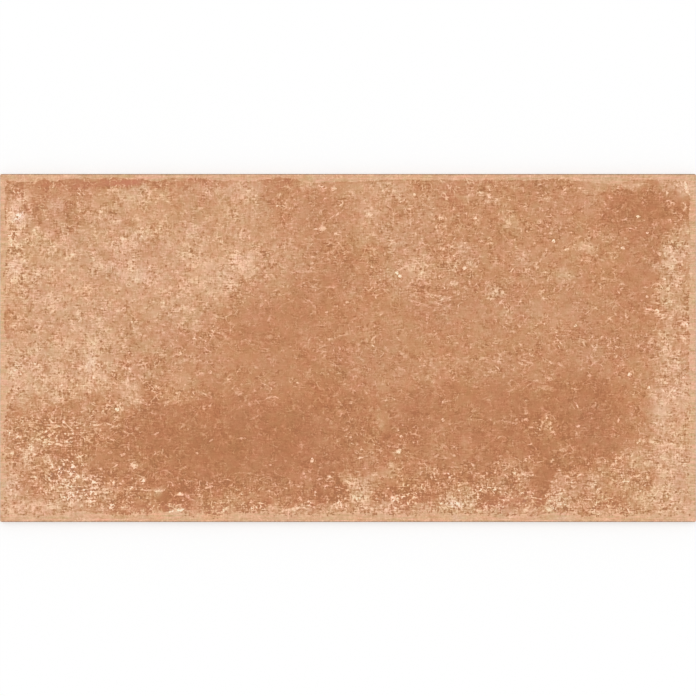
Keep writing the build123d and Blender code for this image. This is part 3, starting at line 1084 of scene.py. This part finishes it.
# Swings of the hue: layers of grain as above, and what one step does to red, green and blue
pinkness = {
    "step": (0.016, -0.012, 0.004),
    "layers": [(5.0, 0.3, 40.0, 0.9), (16.0, 0.3, 90.0, 0.7)],
    "byPaleness": (0.08, 0.45, 2.2, -0.6),
    "middle": -0.4,
    "onMargin": -1.0,
    "onMarginStreaks": 2.2,
}
chalkiness = {
    "step": (0.000, 0.003, 0.018),
    "layers": [(13.0, 0.3, 150.0, 1.3), (40.0, 0.3, 210.0, 1.4)],
    "byPaleness": [(0.16, 0.48, -0.5, 1.3), (0.48, 0.72, 0.0, 8.0)],
    "byGrit": (0.09, 0.16),
    "darkClay": (0.2, 0.34, 1.0, 0.0),
    "onDarkGrit": -1.9,
}
markLooks = {
    "cover": (0.7, 1.2, 1.0, 0.0),  # by the distance from its middle, in half lengths
    "strength": 1.75,
    "ring": (0.7, 1.8, 1.0, 0.0),
    "ringStrength": -0.4,
    "wear": (-0.6, 1.4, 0.35, 1.0),  # faint marks are worn away here and there
    "bowMiddle": -0.35,
    "waver": 0.25,
    "raggedFine": 0.2,
    "raggedMiddle": 0.12,
}


def looseBits(tree, place, level, fine, middle):
    # Worn, pale bits stand out of dark clay, and dark ones out of pale clay
    grit = attribute(tree, "grit")
    parts = []
    for size, width, away, weight in faceGrain["curls"]:
        found = shifted(place, away)
        parts.append((placeGroup(clayCurls, place=found, size=size, width=width)["Curls"], weight))
    size, width, away, weight = faceGrain["longCurls"]
    found = calcVector("MULTIPLY", shifted(place, away), faceGrain["squash"])
    parts.append((placeGroup(clayCurls, place=found, size=size, width=width)["Curls"], weight))
    loose = calc("MINIMUM", summed(parts), faceGrain["boldestCurls"])
    loose = calc("MULTIPLY", loose, ramped(level, *faceGrain["curlsByPaleness"]))
    loose = calc("MULTIPLY", loose, ramped(grit, *faceGrain["curlsByGrit"]))

    stirred = calcVector("MULTIPLY_ADD", joined(fine, middle), faceGrain["fleckStir"], place)
    bits = placeGroup(clayFlecks, place=stirred, size=faceGrain["fleckSize"])["Flecks"]
    bold = ramped(grit, *faceGrain["flecksByGrit"])
    bold = towards(bold, faceGrain["flecksOnPale"], ramped(level, *faceGrain["paleClay"]))
    return calc("MULTIPLY_ADD", bits, bold, loose)


def withMarks(tree, pale, level, fine, middle, clumps):
    # Each face of the mesh knows where its nearest mark lies. The clay is darker in a ring round it.
    seen = node("SeparateXYZ", {0: attribute(tree, "markPlace", "Vector")}).outputs
    bow = calc("MULTIPLY_ADD", seen["X"], seen["X"], markLooks["bowMiddle"])
    bow = calc("MULTIPLY", bow, attribute(tree, "markBend"))
    bowed = summed([(seen["Y"], 1.0), (bow, -1.0), (clumps, markLooks["waver"])])
    ragged = summed([(fine, markLooks["raggedFine"]), (middle, markLooks["raggedMiddle"])])
    fromMiddle = node("VectorMath", {0: joined(seen["X"], bowed)}, operation="LENGTH")
    away = calc("ADD", fromMiddle.outputs["Value"], ragged)
    worn = ramped(calc("MULTIPLY_ADD", middle, -1.0, seen["Z"]), *markLooks["wear"])
    cover = calc("MULTIPLY", ramped(away, *markLooks["cover"]), worn)
    pale = towards(pale, calc("MULTIPLY_ADD", seen["Z"], markLooks["strength"], level), cover)
    ring = calc("SUBTRACT", ramped(away, *markLooks["ring"]), cover)
    ring = calc("MULTIPLY", ring, seen["Z"])
    return calc("MULTIPLY_ADD", ring, markLooks["ringStrength"], pale), cover


def withMargin(tree, pale, place, grains, clumps):
    # The smooth pale band along the margins, and a thin line of painted shade just inside it
    rim = calc("SUBTRACT", attribute(tree, "marginBand"), attribute(tree, "inset"))
    fray = ramped(axisOf(place, "Y"), *margin["fray"])
    rim = calc("MULTIPLY_ADD", grains, fray, rim)
    band = ramped(rim, *margin["edge"])
    # painted shade along the inner rim of the pale band
    shade = ramped(clumps, *margin["shade"])
    pale = calc("SUBTRACT", pale, calc("MULTIPLY", ramped(rim, *margin["shadeReach"]), shade))
    streaks = brushed(place, *margin["streakSize"], away=75.0)
    bandGrain = summed([(grains, margin["grain"]), (streaks, margin["streaks"])])
    pale = towards(pale, calc("ADD", bandGrain, margin["paleness"]), band)
    return pale, band, streaks


def withHues(tree, colour, place, level, band, streaks):
    # Pinker in the dark pools, more olive where it is pale and along the margins, and uneven everywhere
    pink = summed([
        *grainRows(place, pinkness["layers"]),
        (ramped(level, *pinkness["byPaleness"]), 1.0),
        (band, pinkness["onMargin"]),
        (calc("MULTIPLY", band, streaks), pinkness["onMarginStreaks"]),
        (1.0, pinkness["middle"]),
    ])
    gritty = ramped(attribute(tree, "grit"), *chalkiness["byGrit"])
    darkGrit = calc("MULTIPLY", gritty, ramped(level, *chalkiness["darkClay"]))
    chalk = summed([
        *[(ramped(level, *ends), 1.0) for ends in chalkiness["byPaleness"]],
        (darkGrit, chalkiness["onDarkGrit"]),
        *grainRows(place, chalkiness["layers"]),
    ])
    swing = (1, 1, 1)
    for amount, step in ((pink, pinkness["step"]), (chalk, chalkiness["step"])):
        swing = calcVector("MULTIPLY_ADD", joined(amount, amount, amount), step, swing)
    return calcVector("MULTIPLY", colour, swing)


def faceMaterial():
    material, tree = newMaterial("glazedClay")
    place = placesInMm(tree)
    level = attribute(tree, "paleness")
    spots = summed(grainRows(place, faceGrain["spots"]))
    spots = calc("MAXIMUM", calc("ADD", spots, 1.0), faceGrain["leastSpots"])
    grit = calc("MULTIPLY", attribute(tree, "grit"), spots)

    # How pale each place is
    layered = grainRows(place, faceGrain["layers"])
    fine, middle, clumps = [layer for layer, weight in layered[:3]]
    skewMiddle, skewWeight = faceGrain["skew"]
    grains = summed([
        *layered,
        *[(brushed(place, alongX, alongY), weight) for alongX, alongY, weight in faceGrain["strokes"]],
        (looseBits(tree, place, level, fine, middle), 1.0),
        (calc("MULTIPLY_ADD", fine, fine, skewMiddle), skewWeight),
    ])
    squared = calc("MULTIPLY_ADD", grains, grains, faceGrain["leanMiddle"])
    leant = calc("MULTIPLY_ADD", squared, ramped(level, *faceGrain["lean"]), grains)
    pale = calc("MULTIPLY_ADD", leant, grit, level)
    pale, markCover = withMarks(tree, pale, level, fine, middle, clumps)
    pale, band, streaks = withMargin(tree, pale, place, grains, clumps)
    colour = colourRamp(pale, glazedClay["colours"])

    # Red clay shows between the pale bits
    redShare = calc("MULTIPLY", attribute(tree, "redness"), ramped(pale, *glazedClay["redByPaleness"]))
    redShare = calc("MULTIPLY", redShare, calc("SUBTRACT", 1.0, band))
    colour = mixed(redShare, colour, tint(glazedClay["red"]))
    colour = withHues(tree, colour, place, level, band, streaks)

    # Thin, greyer line of painted shade along the arris, where the rounded edge falls away from the light
    fromEdge = calc("MULTIPLY_ADD", middle, glazedClay["arrisFray"], attribute(tree, "inset"))
    fromEnd, nearer, *atEnds = glazedClay["arrisAtEnds"]
    outward = calc("ABSOLUTE", axisOf(place, "X"))
    alongEdge = ramped(outward, tileLength / 2 - fromEnd, tileLength / 2 - nearer, *atEnds)
    paintedArrisShade = calc("MULTIPLY", ramped(fromEdge, *glazedClay["arrisShadeReach"]), alongEdge)
    colour = mixed(paintedArrisShade, colour, tint(glazedClay["arris"]))

    # Fired body below the glaze's lower edge
    lip = calc("MULTIPLY_ADD", middle, glazedClay["bodyFray"], axisOf(place, "Z"))
    bodyColour = placeGroup(firedBody, place=place)["Colour"]
    colour = mixed(ramped(lip, *glazedClay["bodyTop"]), colour, bodyColour)

    rough = calc("MULTIPLY_ADD", pale, glazedClay["roughnessOfPale"], glazedClay["roughness"])
    relief = summed([(fine, glazedClay["grainRelief"]), (middle, glazedClay["grainRelief"])])
    relief = calc("MULTIPLY_ADD", markCover, glazedClay["markRelief"], relief)
    return shaded(material, colour, rough, relief, glazedClay)


def shaded(material, colour, rough, relief, looks):
    bump = node("Bump", {"Height": relief, "Strength": 1.0, "Distance": looks["reliefHeight"] * mm})
    surface = {"Base Color": colour, "Roughness": rough, "Specular IOR Level": looks["specular"]}
    shader = node("BsdfPrincipled", {**surface, "Normal": bump.outputs[0]})
    node("OutputMaterial", {"Surface": shader.outputs[0]})
    return material


def backMaterial():
    material, tree = newMaterial("firedClay")
    body = placeGroup(firedBody, place=placesInMm(tree))
    return shaded(material, body["Colour"], body["Roughness"], body["Height"], firedClay)


tile, points = buildTile()
storeClay(tile, points)
storeMarks(tile)
tile.data.materials.append(faceMaterial())
tile.data.materials.append(backMaterial())
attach(tile, "root")
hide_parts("tile")
print("materials: done")


# Studio: a white floor, even light from all round and a soft lamp overhead

studio = {
    "floorSize": 12.0,
    "floorColour": (1.0, 1.0, 1.0, 1.0),
    "floorBounce": (0.75, 0.75, 0.75, 1.0),
    "floorGlow": 0.5,  # share of its whiteness that the camera sees whatever shade lies on it
    "skyLevel": 0.68,
    "lampLevel": 0.32,
    "lampTilt": 13.0,
    "lampHeading": 125.0,
    "lampSoftness": 45.0,
    "lens": 300.0,
}


def seenDirectly(tree):
    # 1 for rays that carry the background to the camera, straight, mirrored or through glass
    path = node("LightPath", {}, tree).outputs
    seen = calc("MAXIMUM", path["Is Camera Ray"], path["Is Glossy Ray"])
    return calc("MAXIMUM", seen, path["Is Transmission Ray"])


def buildFloor():
    half = studio["floorSize"] / 2
    corners = [(x, y, tileLow.z) for x, y in ((-half, -half), (half, -half), (half, half), (-half, half))]
    mesh = bpy.data.meshes.new("floor")
    mesh.from_pydata(corners, [], [(0, 1, 2, 3)])
    floor = addObject("floor", mesh)
    material, tree = newMaterial("paperFloor")
    seen = seenDirectly(tree)
    colour = mixed(seen, studio["floorBounce"], studio["floorColour"])
    paper = node("BsdfDiffuse", {"Color": colour})
    glow = node("Emission", {"Color": studio["floorColour"]}, tree)
    share = calc("MULTIPLY", seen, studio["floorGlow"])
    shader = node("MixShader", {0: share, 1: paper.outputs[0], 2: glow.outputs[0]})
    node("OutputMaterial", {"Surface": shader.outputs[0]})
    mesh.materials.append(material)


def buildLight():
    world = bpy.data.worlds.new("studio")
    bpy.context.scene.world = world
    tree = clearedTree(world)
    level = node("Mix", {0: seenDirectly(tree), 2: studio["skyLevel"], 3: 1.0}, data_type="FLOAT")
    background = node("Background", {"Color": (1, 1, 1, 1), "Strength": level.outputs[0]})
    node("OutputWorld", {"Surface": background.outputs[0]})

    lamp = bpy.data.lights.new("softLamp", "SUN")
    tilt, heading = math.radians(studio["lampTilt"]), math.radians(studio["lampHeading"])
    lamp.energy = studio["lampLevel"] * math.pi / math.cos(tilt)
    lamp.angle = math.radians(studio["lampSoftness"])
    addObject("softLamp", lamp).rotation_euler = (tilt, 0, heading - math.pi / 2 + math.pi)


def buildCamera():
    camera = bpy.data.cameras.new("overhead")
    camera.lens = studio["lens"]
    away = tileLength * mm * camera.lens / camera.sensor_width
    camera.clip_end = away * 3
    middle = (tileLow + tileHigh) / 2
    outlineHeight = tileHigh.z - (slab["marginDrop"] + slab["arrisRadius"]) * mm
    holder = addObject("overhead", camera)
    holder.location = (middle.x, middle.y, outlineHeight + away)
    bpy.context.scene.camera = holder


buildFloor()
buildLight()
buildCamera()
bpy.context.scene.view_settings.view_transform = "Standard"
print("studio: done")
